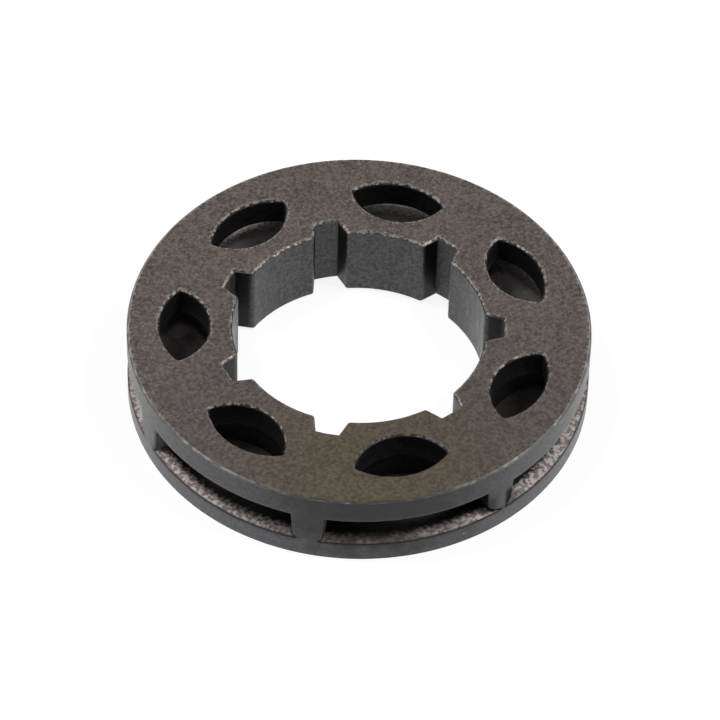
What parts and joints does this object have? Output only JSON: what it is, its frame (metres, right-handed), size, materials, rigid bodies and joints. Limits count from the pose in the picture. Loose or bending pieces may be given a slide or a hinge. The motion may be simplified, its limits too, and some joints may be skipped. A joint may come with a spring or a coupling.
{
  "type": "chainsaw rim sprocket",
  "caption": "Flat ring-shaped chain drive rim: two flanges with teeth and chain pockets between them, almond windows in the upper flange and a splined bore.",
  "frame": {"origin": "on the axis of the bore, at the bottom face of the closed flange", "axes": "+Z along the bore axis towards the flange with the windows, +X through the middle of one window"},
  "size_m": [0.0376, 0.0376, 0.0069],
  "materials": {
    "sintered_steel": "as-sintered grainy faces, ground outer wall, bright worn edges"
  },
  "bodies": {
    "root": {"rim_sprocket": "sintered_steel"}
  },
  "joints": []
}
